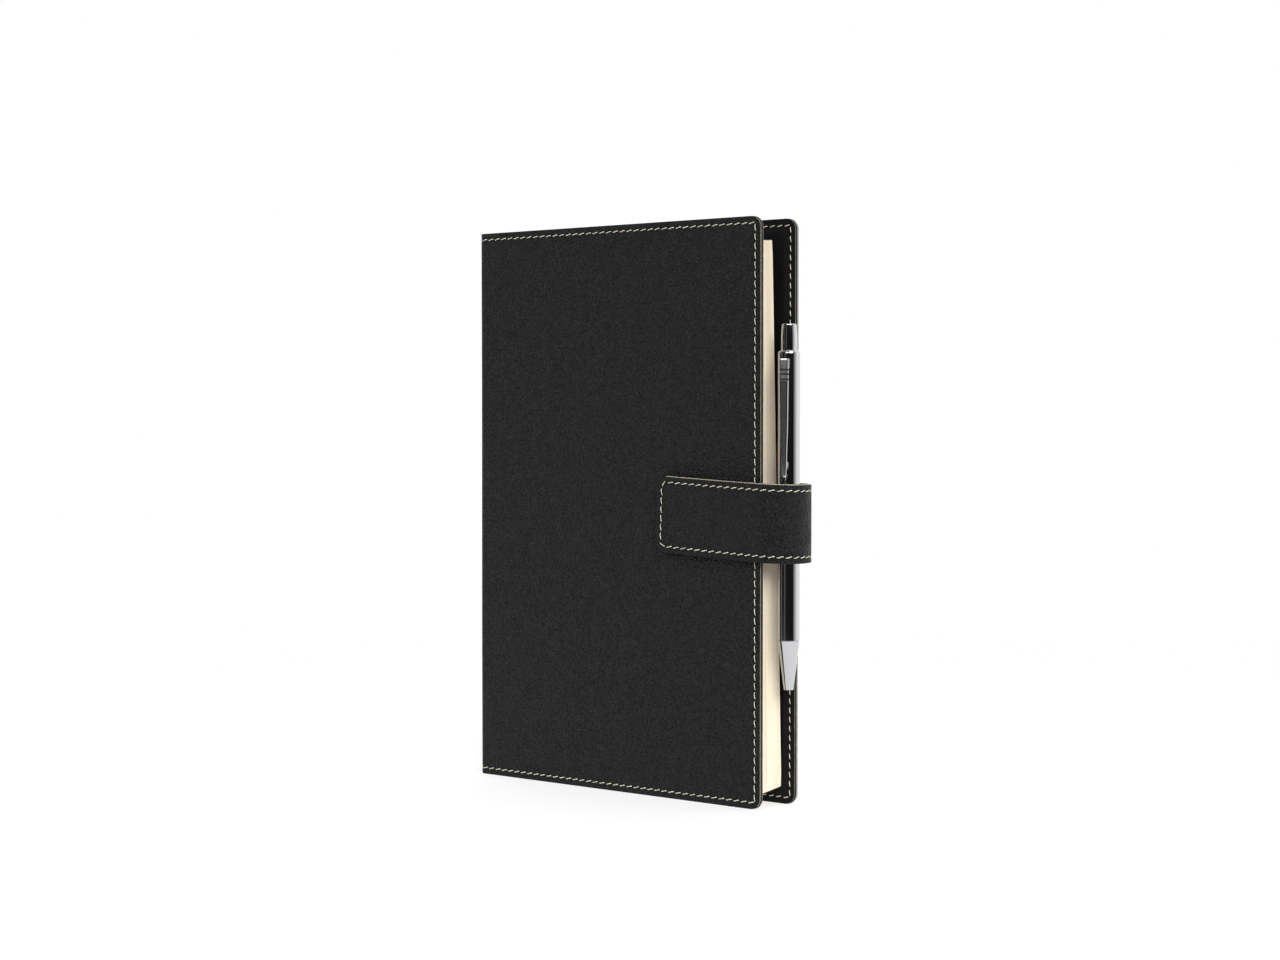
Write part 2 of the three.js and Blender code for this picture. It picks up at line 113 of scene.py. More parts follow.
def blotch(material, vector, low, high, at="Base Color", scale=40.0, detail=3.0, rough=0.6):
    """Lets the middle of a noise's range move one of the shader's values from low to high."""
    noise = add_node(material, "TexNoise", {
        "Vector": vector, "Scale": scale, "Detail": detail, "Roughness": rough,
    })
    shader = material.node_tree.nodes["Principled BSDF"]
    ramp = add_node(material, "MapRange", {
        "Value": noise.outputs["Fac"], "From Min": 0.35, "From Max": 0.65,
    })
    if at == "Base Color":
        spread = add_node(material, "Mix", data_type="RGBA")
        color_a, color_b, mixed = spread.inputs[6], spread.inputs[7], spread.outputs[2]
        color_a.default_value = (*low, 1)
        color_b.default_value = (*high, 1)
        material.node_tree.links.new(ramp.outputs["Result"], spread.inputs["Factor"])
        material.node_tree.links.new(mixed, shader.inputs[at])
    else:
        ramp.inputs["To Min"].default_value = low
        ramp.inputs["To Max"].default_value = high
        material.node_tree.links.new(ramp.outputs["Result"], shader.inputs[at])


def emboss(material, *layers):
    """Bumps laid over each other: (height socket, strength, distance in metres) each."""
    normal = None
    for height, strength, distance in layers:
        inputs = {"Height": height, "Strength": strength, "Distance": distance}
        if normal:
            inputs["Normal"] = normal
        normal = add_node(material, "Bump", inputs).outputs["Normal"]
    shader = material.node_tree.nodes["Principled BSDF"]
    material.node_tree.links.new(normal, shader.inputs["Normal"])


def black_leatherette(name, grain=1.0):
    """Black coated cloth: pebbles of about 0.9 mm, fine pores and a few faint wrinkles."""
    material = new_material(name, (0.0068, 0.0067, 0.0067), 0.5, specular=0.14)
    vector = place_on(material)
    blotch(material, vector, (0.0026, 0.0026, 0.0026), (0.0164, 0.0162, 0.016), scale=950,
           rough=0.75)
    blotch(material, vector, 0.42, 0.56, at="Roughness", scale=180)
    pebble = add_node(material, "TexVoronoi", {
        "Vector": vector, "Scale": 1150, "Smoothness": 0.3, "Randomness": 1,
    }, feature="SMOOTH_F1")
    pores = add_node(material, "TexNoise", {
        "Vector": vector, "Scale": 2600, "Detail": 2, "Roughness": 0.6,
    })
    wrinkles = add_node(material, "TexNoise", {
        "Vector": place_on(material, scale=(300, 300, 210)), "Scale": 1, "Detail": 4,
        "Roughness": 0.65, "Distortion": 0.8,
    })
    emboss(
        material,
        (wrinkles.outputs["Fac"], 0.5 * grain, 0.0008),
        (pebble.outputs["Distance"], grain, 0.0009),
        (pores.outputs["Fac"], 0.5 * grain, 0.0002),
    )
    return material


skin_black = black_leatherette("leatherette_black")
backing_cream = new_material("backing_cloth_cream", (0.74, 0.7, 0.58), 0.9, specular=0.2)
blotch(backing_cream, place_on(backing_cream), (0.64, 0.6, 0.48), (0.82, 0.78, 0.66), scale=900)


def lines(start, end, step, dense=(), spread=1.2, fine=0.3):
    """Coordinates from start to end, a step apart, with finer ones round each dense place."""
    places = [np.linspace(start, end, int(np.ceil((end - start) / step)) + 1)]
    for place in dense:
        places.append(np.linspace(place - spread, place + spread, int(2 * spread / fine) + 1))
    merged = np.unique(np.concatenate(places))
    merged = merged[(merged > start + fine / 2) & (merged < end - fine / 2)]
    apart = np.diff(merged, prepend=merged[0] - step) > fine * 0.45
    return np.concatenate([[start], merged[apart], [end]])


def outline_grid(s_lines, z_lines, inset, radii, joined):
    """The sheet's grid, drawn in by inset except at a joined end. In a corner's square the
    point (a, b) goes to (a sqrt(1 - b²/2), b sqrt(1 - a²/2)), so the square becomes a
    quarter disc."""
    s0, s1, z0, z1 = s_lines[0], s_lines[-1], z_lines[0], z_lines[-1]
    low = s0 + (0 if "start" in joined else inset)
    high = s1 - (0 if "end" in joined else inset)
    s = low + (s_lines - s0) * (high - low) / (s1 - s0)
    z = z0 + inset + (z_lines - z0) * (z1 - z0 - 2 * inset) / (z1 - z0)
    grid_s, grid_z = np.meshgrid(s, z, indexing="ij")
    for radius, edge, way in ((radii[0], low, -1), (radii[1], high, 1)):
        r = radius - inset
        if r <= 0:
            continue
        for rim, up in ((z[0], -1), (z[-1], 1)):
            a = np.clip((grid_s - (edge - way * r)) * way / r, 0, 1)
            b = np.clip((grid_z - (rim - up * r)) * up / r, 0, 1)
            grid_s = grid_s + way * r * a * (np.sqrt(1 - b * b / 2) - 1)
            grid_z = grid_z + up * r * b * (np.sqrt(1 - a * a / 2) - 1)
    return grid_s, grid_z


def make_mesh(name, points, faces, materials, face_material=None, uv=None, crease=38):
    """A closed mesh from points in millimetres, with its faces turned outwards."""
    mesh = bpy.data.meshes.new(name)
    mesh.from_pydata((np.asarray(points) * MM).tolist(), [], [list(map(int, f)) for f in faces])
    for material in materials:
        mesh.materials.append(material)
    if face_material is not None:
        mesh.polygons.foreach_set("material_index", np.asarray(face_material, np.int32))
    work = bmesh.new()
    work.from_mesh(mesh)
    bmesh.ops.recalc_face_normals(work, faces=work.faces)
    work.to_mesh(mesh)
    work.free()
    if uv is not None:
        corner = np.zeros(len(mesh.loops), np.int32)
        mesh.loops.foreach_get("vertex_index", corner)
        layer = mesh.uv_layers.new(name="sheet")
        layer.data.foreach_set("uv", (np.asarray(uv)[corner] * MM).astype(np.float32).ravel())
    mesh.shade_smooth()
    mesh.set_sharp_from_angle(angle=np.radians(crease))
    piece = bpy.data.objects.new(name, mesh)
    bpy.context.scene.collection.objects.link(piece)
    return piece


def make_sheet(name, s_lines, z_lines, place, rings, materials, radii=(0, 0), joined=(),
               relief=None, inner_material=0):
    """A closed sheet: a face grid, a ring of edge points for each (inset, depth, material) in
    rings, and the inner face's grid. place(s, z, depth) puts a point in space, and
    relief(s, z) is how far the outer face stands out there."""
    rows, columns = len(s_lines), len(z_lines)
    index = np.arange(rows * columns).reshape(rows, columns)
    loop = np.concatenate([
        index[:-1, 0], index[-1, :-1], index[:0:-1, -1], index[0, :0:-1],
    ])
    points, sheet_uv, loops = [], [], []
    offset = 0
    for number, (inset, depth, _) in enumerate(rings):
        s, z = outline_grid(s_lines, z_lines, inset, radii, joined)
        s, z = s.ravel(), z.ravel()
        whole = number in (0, len(rings) - 1)
        picked = slice(None) if whole else loop
        s, z = s[picked], z[picked]
        d = np.full(s.shape, float(depth))
        if number == 0 and relief:
            d = d - relief(s, z)
        points.append(place(s, z, d))
        sheet_uv.append(np.stack([s, z], -1))
        loops.append(offset + (loop if whole else np.arange(len(loop))))
        offset += len(s)
    quads = np.stack([index[:-1, :-1], index[1:, :-1], index[1:, 1:], index[:-1, 1:]], -1)
    quads = quads.reshape(-1, 4)
    last = offset - rows * columns
    faces, kinds = [quads, quads[:, ::-1] + last], [rings[0][2], inner_material]
    for outer, inner, (_, _, kind) in zip(loops[:-1], loops[1:], rings[1:]):
        faces.append(np.stack([outer, inner, np.roll(inner, -1), np.roll(outer, -1)], -1))
        kinds.append(kind)
    face_material = np.concatenate([np.full(len(f), k) for f, k in zip(faces, kinds)])
    return make_mesh(
        name, np.concatenate(points), np.concatenate(faces), materials, face_material,
        np.concatenate(sheet_uv),
    )


def round_cover(side):
    """s runs along the outer face from the spine's middle: straight to the bend, a quarter
    circle, then straight along the cover. Depth is taken off along the face's normal."""
    def place(s, z, depth):
        angle = np.clip((s - spine_flat) / bend_radius, 0, np.pi / 2)
        along = np.maximum(s - spine_flat - bend_length, 0)
        x = spine_x + bend_radius - (bend_radius - depth) * np.cos(angle) + along
        y = np.minimum(s, spine_flat) + (bend_radius - depth) * np.sin(angle)
        return np.stack([x, side * y, z + 0 * x], -1)
    return place


def pressed_seam(edge):
    """The skin is drawn in under the seam by 0.2 exp(-(away / 0.5)²) mm, where away is the
    distance from the seam's line. Slow waves of 0.07 mm cross it, and fade out over the last
    8 mm before an edge."""
    right, top = edge - seam_from_fore_edge, cover_height - seam_from_edge
    draw, draw_width, wave_height, fade_width = 0.2, 0.5, 0.07, 8

    def relief(s, z):
        past = np.maximum(s - right, 0)
        upper = np.hypot(past, z - top)
        lower = np.hypot(past, z - seam_from_edge)
        beyond = np.maximum(np.maximum(seam_from_edge - z, z - top), 0)
        fore = np.hypot(s - right, beyond)
        away = np.minimum(np.minimum(upper, lower), fore)
        waves = np.sin(s / 23 + 1.7 * np.sin(z / 61)) * np.sin(z / 37 + 0.8 * np.sin(s / 29))
        from_edge = np.minimum(np.minimum(z, cover_height - z), edge - s)
        fade = np.clip(from_edge / fade_width, 0, 1)
        return -draw * np.exp(-((away / draw_width) ** 2)) + wave_height * waves * fade
    return relief


# Inset, depth and material, from the outer face over the rounded edge to the backing cloth.
SKIN_RINGS = (
    (0.28, 0.0, 0), (0.11, 0.05, 0), (0.03, 0.15, 0), (0.0, 0.3, 0), (0.0, 0.5, 0),
    (0.03, 0.54, 1), (0.04, 0.68, 1), (0.3, 0.75, 1),
)
edge_zone = 0.6
corner_zone = 4.0
z_lines = lines(0, cover_height, 2.6, (
    edge_zone, seam_from_edge, corner_zone, cover_height - corner_zone,
    cover_height - seam_from_edge, cover_height - edge_zone,
))
# The bodies on both sides of each crease, the side in Y, and the fore edge's place along s.
CREASE = {
    "front": ("spine", "front_cover", -1, front_edge),
    "back": ("spine", "back_cover", 1, back_edge),
}


def bend_at_crease(piece, name):
    """Bakes the piece's placement into its mesh. The crease's bodies and side are looked up but
    not used.
    """
    fixed, moving, side, _ = CREASE[name]
    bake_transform(piece)


for name, (_, _, side, edge) in CREASE.items():
    s_lines = lines(0, edge, 2.6, (spine_flat + 1, spine_flat + 3.4, edge - corner_zone,
                                   edge - seam_from_fore_edge, edge - edge_zone))
    skin = make_sheet(
        f"cover_skin_{name}", s_lines, z_lines, round_cover(side), SKIN_RINGS,
        [skin_black, backing_cream], (0, corner_radius), ("start",), pressed_seam(edge), 1,
    )
    bend_at_crease(skin, name)
    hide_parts(f"{name}_leather")
    if name == "front":
        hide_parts("spine_leather")

# ---- Boards ------------------------------------------------------------------------------
# Flat fibre boards, dyed through in dark grey-green, are glued between skin and lining. Only
# their cut edges show, between the cream backing and the lining.

board_grey = new_material("board_fibre_grey", (0.035, 0.038, 0.033), 0.85, specular=0.25)
board_vector = place_on(board_grey)
blotch(board_grey, board_vector, (0.026, 0.029, 0.024), (0.05, 0.053, 0.045), scale=700)
board_fibres = add_node(board_grey, "TexNoise", {"Vector": board_vector, "Scale": 2200})
emboss(board_grey, (board_fibres.outputs["Fac"], 0.4, 0.0002))
for name in ("front_board", "spine_board", "back_board"):
    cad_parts[name].data.materials.clear()
    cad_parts[name].data.materials.append(board_grey)

# ---- Lining ------------------------------------------------------------------------------
# A thinner matt black sheet covers the boards on the inside, from fore edge to fore edge.

lining_black = new_material("lining_black", (0.0045, 0.0045, 0.0045), 0.65, specular=0.12)
lining_vector = place_on(lining_black)
blotch(lining_black, lining_vector, (0.0038, 0.0038, 0.0038), (0.0055, 0.0055, 0.0055), scale=90)
lining_grain = add_node(lining_black, "TexVoronoi", {"Vector": lining_vector, "Scale": 1900})
emboss(lining_black, (lining_grain.outputs["Distance"], 0.3, 0.0002))
cut_grey = new_material("cut_edge_grey", (0.11, 0.105, 0.09), 0.8, specular=0.3)
blotch(cut_grey, place_on(cut_grey), (0.08, 0.075, 0.062), (0.15, 0.14, 0.12), scale=800)

lining_z = lines(0, cover_height, 6, (1.0, 3.2, cover_height - 3.2, cover_height - 1.0),
                 fine=0.5)
for name, (_, _, side, edge) in CREASE.items():
    lining_s = lines(0, edge, 6, (spine_flat + 1, spine_flat + 3.4, edge - 3.2, edge - 1.0),
                     fine=0.5)
    inside = make_sheet(
        f"cover_lining_{name}", lining_s, lining_z, round_cover(side),
        ((0.05, 1.42, 0), (0.0, 1.5, 0), (0.0, 1.74, 0), (0.08, 1.8, 0)),
        [lining_black], (0, corner_radius), ("start",),
    )
    bend_at_crease(inside, name)
    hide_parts(f"{name}_lining")
    if name == "front":
        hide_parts("spine_lining")

# ---- Pockets -----------------------------------------------------------------------------
# A pocket of the lining sheet is sewn inside each cover along three edges and is open towards
# the spine. The insert's card cover slides into it, so it stands off the lining by 0.5 mm.

pocket_width = 62.0
pocket_rim = 3.0
pocket_face = 2.25
pocket_room = 0.5
pocket_step = 2.0


def pocket_place(side, edge):
    """The cover's own shape, with the pocket pushed inwards by a smooth step that starts at
    the sewn rim: the room times 3 t² - 2 t³, with t from 0 to 1 over the step."""
    cover_place = round_cover(side)

    def place(s, z, depth):
        inside_rim = np.minimum(np.minimum(z, cover_height - z), edge - s) - pocket_rim
        t = np.clip(inside_rim / pocket_step, 0, 1)
        return cover_place(s, z, depth + pocket_room * t * t * (3 - 2 * t))
    return place


pocket_z = lines(0, cover_height, 5, (1.5, 4.0, cover_height - 4.0, cover_height - 1.5),
                 fine=0.5)
for name, (_, body, side, edge) in CREASE.items():
    pocket_s = lines(edge - pocket_width, edge, 5, (edge - 4.0, edge - 1.5), fine=0.5)
    pocket = make_sheet(
        f"pocket_{name}", pocket_s, pocket_z, pocket_place(side, edge),
        ((0.04, 1.85, 0), (0.0, 1.9, 1), (0.0, 2.2, 1), (0.07, pocket_face, 1)),
        [lining_black, cut_grey], (0, corner_radius),
    )
    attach(pocket, body)
    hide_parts(f"{name}_pocket")

# ---- Cover seams -------------------------------------------------------------------------
# Waxed cream thread, locked by machine through all layers. Each stitch shows as a length of
# twisted thread, about 3 mm long, that dives into its holes and leans on the seam's line.

thread_cream = new_material("thread_cream", (0.66, 0.62, 0.5), 0.6, specular=0.3)
thread_uv = place_on(thread_cream, "UV")
blotch(thread_cream, place_on(thread_cream), (0.58, 0.54, 0.43), (0.74, 0.7, 0.59), scale=500)
thread_twist = add_node(thread_cream, "TexWave", {
    "Vector": thread_uv, "Scale": 420, "Distortion": 1.5, "Detail": 1,
}, bands_direction="DIAGONAL")
emboss(thread_cream, (thread_twist.outputs["Fac"], 0.5, 0.00012))
cover_pitch = 3.5
cover_lean = 8


def stitch_row(path, pitch, lean, upright_lean=4.0):
    """Stitch centres and directions along a polyline, a whole number of pitches apart. The
    lean on the seam's line changes with its direction, from a level seam to an upright one."""
    path = np.asarray(path, float)
    lengths = np.concatenate([[0], np.cumsum(np.hypot(*np.diff(path, axis=0).T))])
    count = max(int(round(lengths[-1] / pitch)), 1)
    at = (np.arange(count) + 0.5) * lengths[-1] / count
    ahead, behind = np.minimum(at + 0.6, lengths[-1]), np.maximum(at - 0.6, 0)
    centre = np.stack([np.interp(at, lengths, path[:, k]) for k in (0, 1)], -1)
    chord = np.stack([np.interp(ahead, lengths, path[:, k])
                      - np.interp(behind, lengths, path[:, k]) for k in (0, 1)], -1)
    angle = np.arctan2(chord[:, 1], chord[:, 0])
    return centre, angle + np.radians(lean * np.abs(np.cos(angle))
                                      + upright_lean * np.abs(np.sin(angle)))


def make_stitches(name, rows, place, length=2.95, width=0.36, hook=0.09, lift=0.07):
    """Each stitch is a thread of six sides along t from -1 to 1. Its radius is
    width/2 (1 - 0.25 t⁴), its height over the face is lift - 0.5 t⁶, and it sways sideways by
    hook (sin(pi t) - 0.8 cos(pi t / 2)). The whole row is placed at once."""
    centres = np.concatenate([c for c, _ in rows])
    angles = np.concatenate([a for _, a in rows])
    t = np.array([-1, -0.8, -0.4, 0, 0.4, 0.8, 1.0])
    around = np.arange(6) * np.pi / 3
    radius = width / 2 * (1 - 0.25 * t ** 4)
    along = np.repeat(t * length / 2, 6)
    sway = hook * (np.sin(np.pi * t) - 0.8 * np.cos(np.pi * t / 2))
    across = (radius[:, None] * np.cos(around) + sway[:, None]).ravel()
    height = (radius[:, None] * 0.75 * np.sin(around) + (lift - 0.5 * t ** 6)[:, None]).ravel()
    cos, sin = np.cos(angles)[:, None], np.sin(angles)[:, None]
    s = centres[:, :1] + along * cos - across * sin
    z = centres[:, 1:] + along * sin + across * cos
    points = place(s.ravel(), z.ravel(), -np.tile(height, len(centres)))
    ring = np.arange(6)
    side = [np.stack([k * 6 + ring, k * 6 + (ring + 1) % 6, k * 6 + 6 + (ring + 1) % 6,
                      k * 6 + 6 + ring], -1) for k in range(len(t) - 1)]
    side = np.concatenate(side)
    ends = np.array([ring[::-1], ring + 6 * (len(t) - 1)])
    first = np.arange(len(centres)) * 6 * len(t)
    faces = [list(f) for f in (first[:, None, None] + side).reshape(-1, 4)]
    faces += [list(f) for f in (first[:, None, None] + ends).reshape(-1, 6)]
    uv = np.stack([np.tile(along, len(centres)),
                   np.tile(np.tile(around / np.pi, len(t)), len(centres))], -1)
    return make_mesh(name, points, faces, [thread_cream], uv=uv, crease=80)


def cover_rows(edge, start, lean):
    """Three straight rows, along the top, down the fore edge and along the bottom."""
    right = edge - seam_from_fore_edge
    top, bottom = cover_height - seam_from_edge, seam_from_edge
    return [
        stitch_row([(start, top), (right, top)], cover_pitch, lean),
        stitch_row([(right, top), (right, bottom)], cover_pitch, lean, 0.3 * lean),
        stitch_row([(start, bottom), (right, bottom)], cover_pitch, lean),
    ]


for name, (_, body, side, edge) in CREASE.items():
    rows = cover_rows(edge, 0.0, -cover_lean * side)
    outside = make_stitches(f"cover_seam_{name}", rows, round_cover(side))
    bend_at_crease(outside, name)
    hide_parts(f"{name}_stitching")
    if name == "front":
        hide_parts("spine_stitching_upper", "spine_stitching_lower")

    def on_pocket(s, z, depth, side=side):
        return round_cover(side)(s, z, pocket_face - depth)

    rows = cover_rows(edge, edge - pocket_width + 1, cover_lean * side)
    inner = make_stitches(f"pocket_seam_{name}", rows, on_pocket, lift=0.02)
    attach(inner, body)
    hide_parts(f"{name}_pocket_stitching")

# ---- Strap -------------------------------------------------------------------------------
# The strap is sewn to the back cover, goes round the fore edge as a loop that holds the pen,
# and ends in a tongue with rounded corners on the front cover. It has a leatherette skin, a
# beige core and a lining, and it runs down a little towards the loop.

tongue_low, tongue_high = (np.array(c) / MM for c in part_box("tongue_leather"))
loop_low, loop_high = (np.array(c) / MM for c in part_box("strap_loop_leather"))
strap_reach = loop_high[1]
strap_gap = 0.3
loop_front = front_high[0] + strap_gap
loop_back = back_high[0] + strap_gap
quarter_points = 60
quarter = np.linspace(0, np.pi / 2, quarter_points)
strap_path = np.concatenate([
    [(tongue_low[0], -strap_reach)],
    np.stack([loop_front + (loop_high[0] - loop_front) * np.sin(quarter),
              -strap_reach * np.cos(quarter)], -1),
    np.stack([loop_back + (loop_high[0] - loop_back) * np.cos(quarter[1:]),
              strap_reach * np.sin(quarter[1:])], -1),
    [(loop_low[0], strap_reach)],
])
strap_steps = np.hypot(*np.diff(strap_path, axis=0).T)
strap_at = np.concatenate([[0], np.cumsum(strap_steps)])
strap_tangent = np.gradient(strap_path, strap_at, axis=0)
strap_tangent /= np.hypot(*strap_tangent.T)[:, None]
strap_length = strap_at[-1]
split_y = 8.0
back_quarter = slice(quarter_points, 2 * quarter_points - 1)
strap_split = np.interp(split_y, strap_path[back_quarter, 1], strap_at[back_quarter])
strap_bottom, strap_top = tongue_low[2], tongue_high[2]
strap_middle = (strap_bottom + strap_top) / 2
strap_slope_end = 66.0
strap_corner = 5.0
strap_seam_inset = 2.5


def round_loop(s, z, depth):
    """s runs along the strap's outer face from the tongue's end: straight, two quarter
    ellipses, straight. Depth is taken off along the path's normal. With left going from 1 at
    the tongue's end to 0 at the slope's end, the strap stands 2.75 left^1.3 - 1.3 mm higher
    than its box, and it leans by 0.035 left of its height above the middle."""
    s = s + 0.035 * (z - strap_middle) * np.clip(1 - s / strap_slope_end, 0, 1)
    x, y = (np.interp(s, strap_at, strap_path[:, k]) for k in (0, 1))
    tx, ty = (np.interp(s, strap_at, strap_tangent[:, k]) for k in (0, 1))
    size = np.hypot(tx, ty)
    left = 1 - np.clip(s / strap_slope_end, -0.1, 1)
    rise = 2.75 * left ** 1.3 - 1.3
    return np.stack([x - depth * ty / size, y + depth * tx / size, z + rise], -1)


def round_loop_skin(s, z, depth):
    """The loop's own shape, with the skin's top edge drawn down by 0.28 t² mm, where t goes
    from 0 to 1 over the last 1.5 mm, so the core shows."""
    t = np.clip((z - strap_top + 1.5) / 1.5, 0, 1)
    return round_loop(s, z - 0.28 * t * t, depth)


def strap_relief(s, z):
    """The skin is drawn in under the seam by 0.22 exp(-(away / 0.55)²) mm, where away is the
    distance from the seam's line, which goes round the tongue's corners."""
    from_long = np.minimum(z - strap_bottom, strap_top - z)
    a = np.maximum(strap_corner - s, 0)
    b = np.maximum(strap_corner - from_long, 0)
    from_edge = np.where((a > 0) & (b > 0), strap_corner - np.hypot(a, b),
                         np.minimum(from_long, s))
    return -0.22 * np.exp(-(((from_edge - strap_seam_inset) / 0.55) ** 2))


core_beige = new_material("strap_core_beige", (0.62, 0.56, 0.45), 0.9, specular=0.2)
blotch(core_beige, place_on(core_beige), (0.52, 0.46, 0.36), (0.7, 0.64, 0.53), scale=900)
# Each layer's rings of inset, depth and material, then its finish and its slot.
STRAP_LAYERS = {
    "skin": (((0.3, 0.0, 0), (0.12, 0.06, 0), (0.03, 0.2, 0), (0.0, 0.4, 0), (0.0, 0.72, 0),
              (0.06, 0.8, 0)), skin_black, "leather"),
    "core": (((0.1, 0.81, 0), (0.07, 0.9, 0), (0.07, 1.2, 0), (0.1, 1.28, 0)),
             core_beige, "board"),
    "lining": (((0.08, 1.29, 0), (0.0, 1.4, 0), (0.0, 2.0, 0), (0.06, 2.12, 0),
                (0.25, 2.2, 0)), lining_black, "lining"),
}
STRAP_NODES = {
    "skin": ("tongue_leather", "strap_loop_leather"),
    "core": ("tongue_core", None),
    "lining": ("tongue_lining", "strap_loop_lining"),
}
seam_low, seam_high = strap_bottom + strap_seam_inset, strap_top - strap_seam_inset
strap_edge_zone = 0.8
strap_z = lines(strap_bottom, strap_top, 2.2, (
    strap_bottom + strap_edge_zone, seam_low, seam_high, strap_top - strap_edge_zone,
))
strap_front_s = lines(0, strap_split, 1.8, (strap_edge_zone, strap_seam_inset, 4.5))
strap_back_s = lines(strap_split, strap_length, 1.8, (strap_length - strap_edge_zone,))
for layer_name, (rings, finish, slot) in STRAP_LAYERS.items():
    on_tongue, on_loop = STRAP_NODES[layer_name]
    relief = strap_relief if layer_name == "skin" else None
    place = round_loop_skin if layer_name == "skin" else round_loop
    tongue = make_sheet(
        f"strap_{layer_name}_front", strap_front_s, strap_z, place, rings, [finish],
        (strap_corner, 0), ("end",), relief,
    )
    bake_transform(tongue)
    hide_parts(on_tongue)
    anchor = make_sheet(
        f"strap_{layer_name}_back", strap_back_s, strap_z, place, rings, [finish],
        (0, 0), ("start",), relief,
    )
    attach(anchor, "back_cover")
    if on_loop:
        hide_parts(on_loop)

# ---- Strap seams -------------------------------------------------------------------------
# The same thread, 2.5 mm inside the strap's edge. The seam goes round the tongue with rounded
# corners, and across the strap's other end on the back cover.

strap_pitch = 3.4
strap_lean = 10
turn = strap_corner - strap_seam_inset
corner = np.linspace(0, np.pi / 2, 9)
corner_sin, corner_cos = turn * np.sin(corner), turn * np.cos(corner)
tongue_seam = np.concatenate([
    [(strap_split, seam_high)],
    np.stack([strap_corner - corner_sin, seam_high - turn + corner_cos], -1),
    np.stack([strap_corner - corner_cos, seam_low + turn - corner_sin], -1),
    [(strap_split, seam_low)],
])
seam_stop = strap_length - strap_seam_inset
anchor_paths = (
    [(strap_split, seam_high), (seam_stop, seam_high)],
    [(seam_stop, seam_high), (seam_stop, seam_low)],
    [(strap_split, seam_low), (seam_stop, seam_low)],
)
tongue_row = stitch_row(tongue_seam, strap_pitch, strap_lean)
tongue_stitches = make_stitches("strap_seam_front", [tongue_row], round_loop, 2.9, 0.35)
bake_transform(tongue_stitches)
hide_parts("tongue_stitching")
anchor_rows = [stitch_row(path, strap_pitch, strap_lean) for path in anchor_paths]
anchor_stitches = make_stitches("strap_seam_back", anchor_rows, round_loop, 2.9, 0.35)
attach(anchor_stitches, "back_cover")
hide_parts("strap_stitching_upper", "strap_stitching_lower")

# ---- Magnet and steel plate --------------------------------------------------------------
# A thin nickel-plated magnet in the tongue holds on to a steel plate in the front board. Both
# are sewn in and hidden.

magnet_nickel = new_material("magnet_nickel", (0.55, 0.54, 0.52), 0.35, metallic=1)
blotch(magnet_nickel, place_on(magnet_nickel), 0.28, 0.42, at="Roughness", scale=300)
steel_drawn = new_material("steel_drawn", (0.58, 0.58, 0.6), 0.3, metallic=1)
drawn_along = place_on(steel_drawn, scale=(1, 1, 12))
blotch(steel_drawn, drawn_along, 0.24, 0.4, at="Roughness", scale=150)
for name, finish in (("tongue_magnet", magnet_nickel), ("front_steel_plate", steel_drawn)):
    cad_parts[name].data.materials.clear()
    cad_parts[name].data.materials.append(finish)

# ---- Signatures of the paper insert --------------------------------------------------------
# Twelve sections of folded cream leaves. The cut edges show single leaves. The block is
# pressed thinner at the top of its fore edge and fans out towards the bottom.

SIGNATURES = 12
TURNED = 4
LEAVES = 11
page_bottom, page_height = 5.6, 208
pressed_from = -3


def paper_material(name, edge):
    """Cream book paper. Its cut edge has fine lines along the leaves, and soft bands."""
    material = new_material(name, (0.84, 0.77, 0.64), 0.85, specular=0.15)
    if not edge:
        blotch(material, place_on(material), (0.83, 0.76, 0.63), (0.86, 0.79, 0.66), scale=400)
        return material
    vector = place_on(material, scale=(1, 1, 0.02))
    blotch(material, vector, (0.78, 0.69, 0.54), (0.88, 0.81, 0.68), scale=500, detail=4)
    leaf_lines = add_node(material, "TexNoise", {"Vector": vector, "Scale": 6000, "Detail": 2})
    emboss(material, (leaf_lines.outputs["Fac"], 0.35, 0.0001))
    return material


paper_face = paper_material("paper_cream", False)
paper_edge = paper_material("paper_cut_edge", True)


def fanned(x, y, z):
    """Towards the fore edge (u goes from 0 to 1 as 3 t² - 2 t³) and the top (v from 0 to 1) the
    block closes up behind its fourth section, by 0.36 u v of its thickness there. The fore edge
    moves out by u (1.5 - 1.9 v) mm, and the leaves rise by 0.12 mm for each mm of y."""
    u = np.clip((x + 20) / 80, 0, 1)
    u = u * u * (3 - 2 * u)
    v = np.clip((z - page_bottom) / page_height, 0, 1)
    pressed = 1 - 0.36 * u * v
    y = np.where(y > pressed_from, pressed_from + (y - pressed_from) * pressed, y)
    return np.stack([x + u * (1.5 - 1.9 * v), y, z + 0.12 * y], -1)


for number in range(1, SIGNATURES + 1):
    low, high = (np.array(c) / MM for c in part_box(f"signature_{number:02d}"))
    thickness = high[1] - low[1]
    leaf = thickness / LEAVES
    rings = [(0.02, 0.0, 0)]
    for k in range(LEAVES):
        rings += [(0.0, (k + 0.3) * leaf, 1), (0.05, (k + 0.95) * leaf, 1)]
    rings[-1] = (0.02, thickness, 1)

    def put_leaf(s, z, depth, low=low):
        return fanned(low[0] + s, low[1] + depth, z)

    section = make_sheet(
        f"leaves_{number:02d}", lines(0, high[0] - low[0], 5), lines(low[2], high[2], 6),
        put_leaf, rings, [paper_face, paper_edge], (0.4, 0.8),
    )
    if number <= TURNED:
        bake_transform(section)
    else:
        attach(section, "back_cover")
    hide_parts(f"signature_{number:02d}")

# ---- Binding strip ------------------------------------------------------------------------
# A strip of open-weave cloth is glued over the folds and holds the sections together.

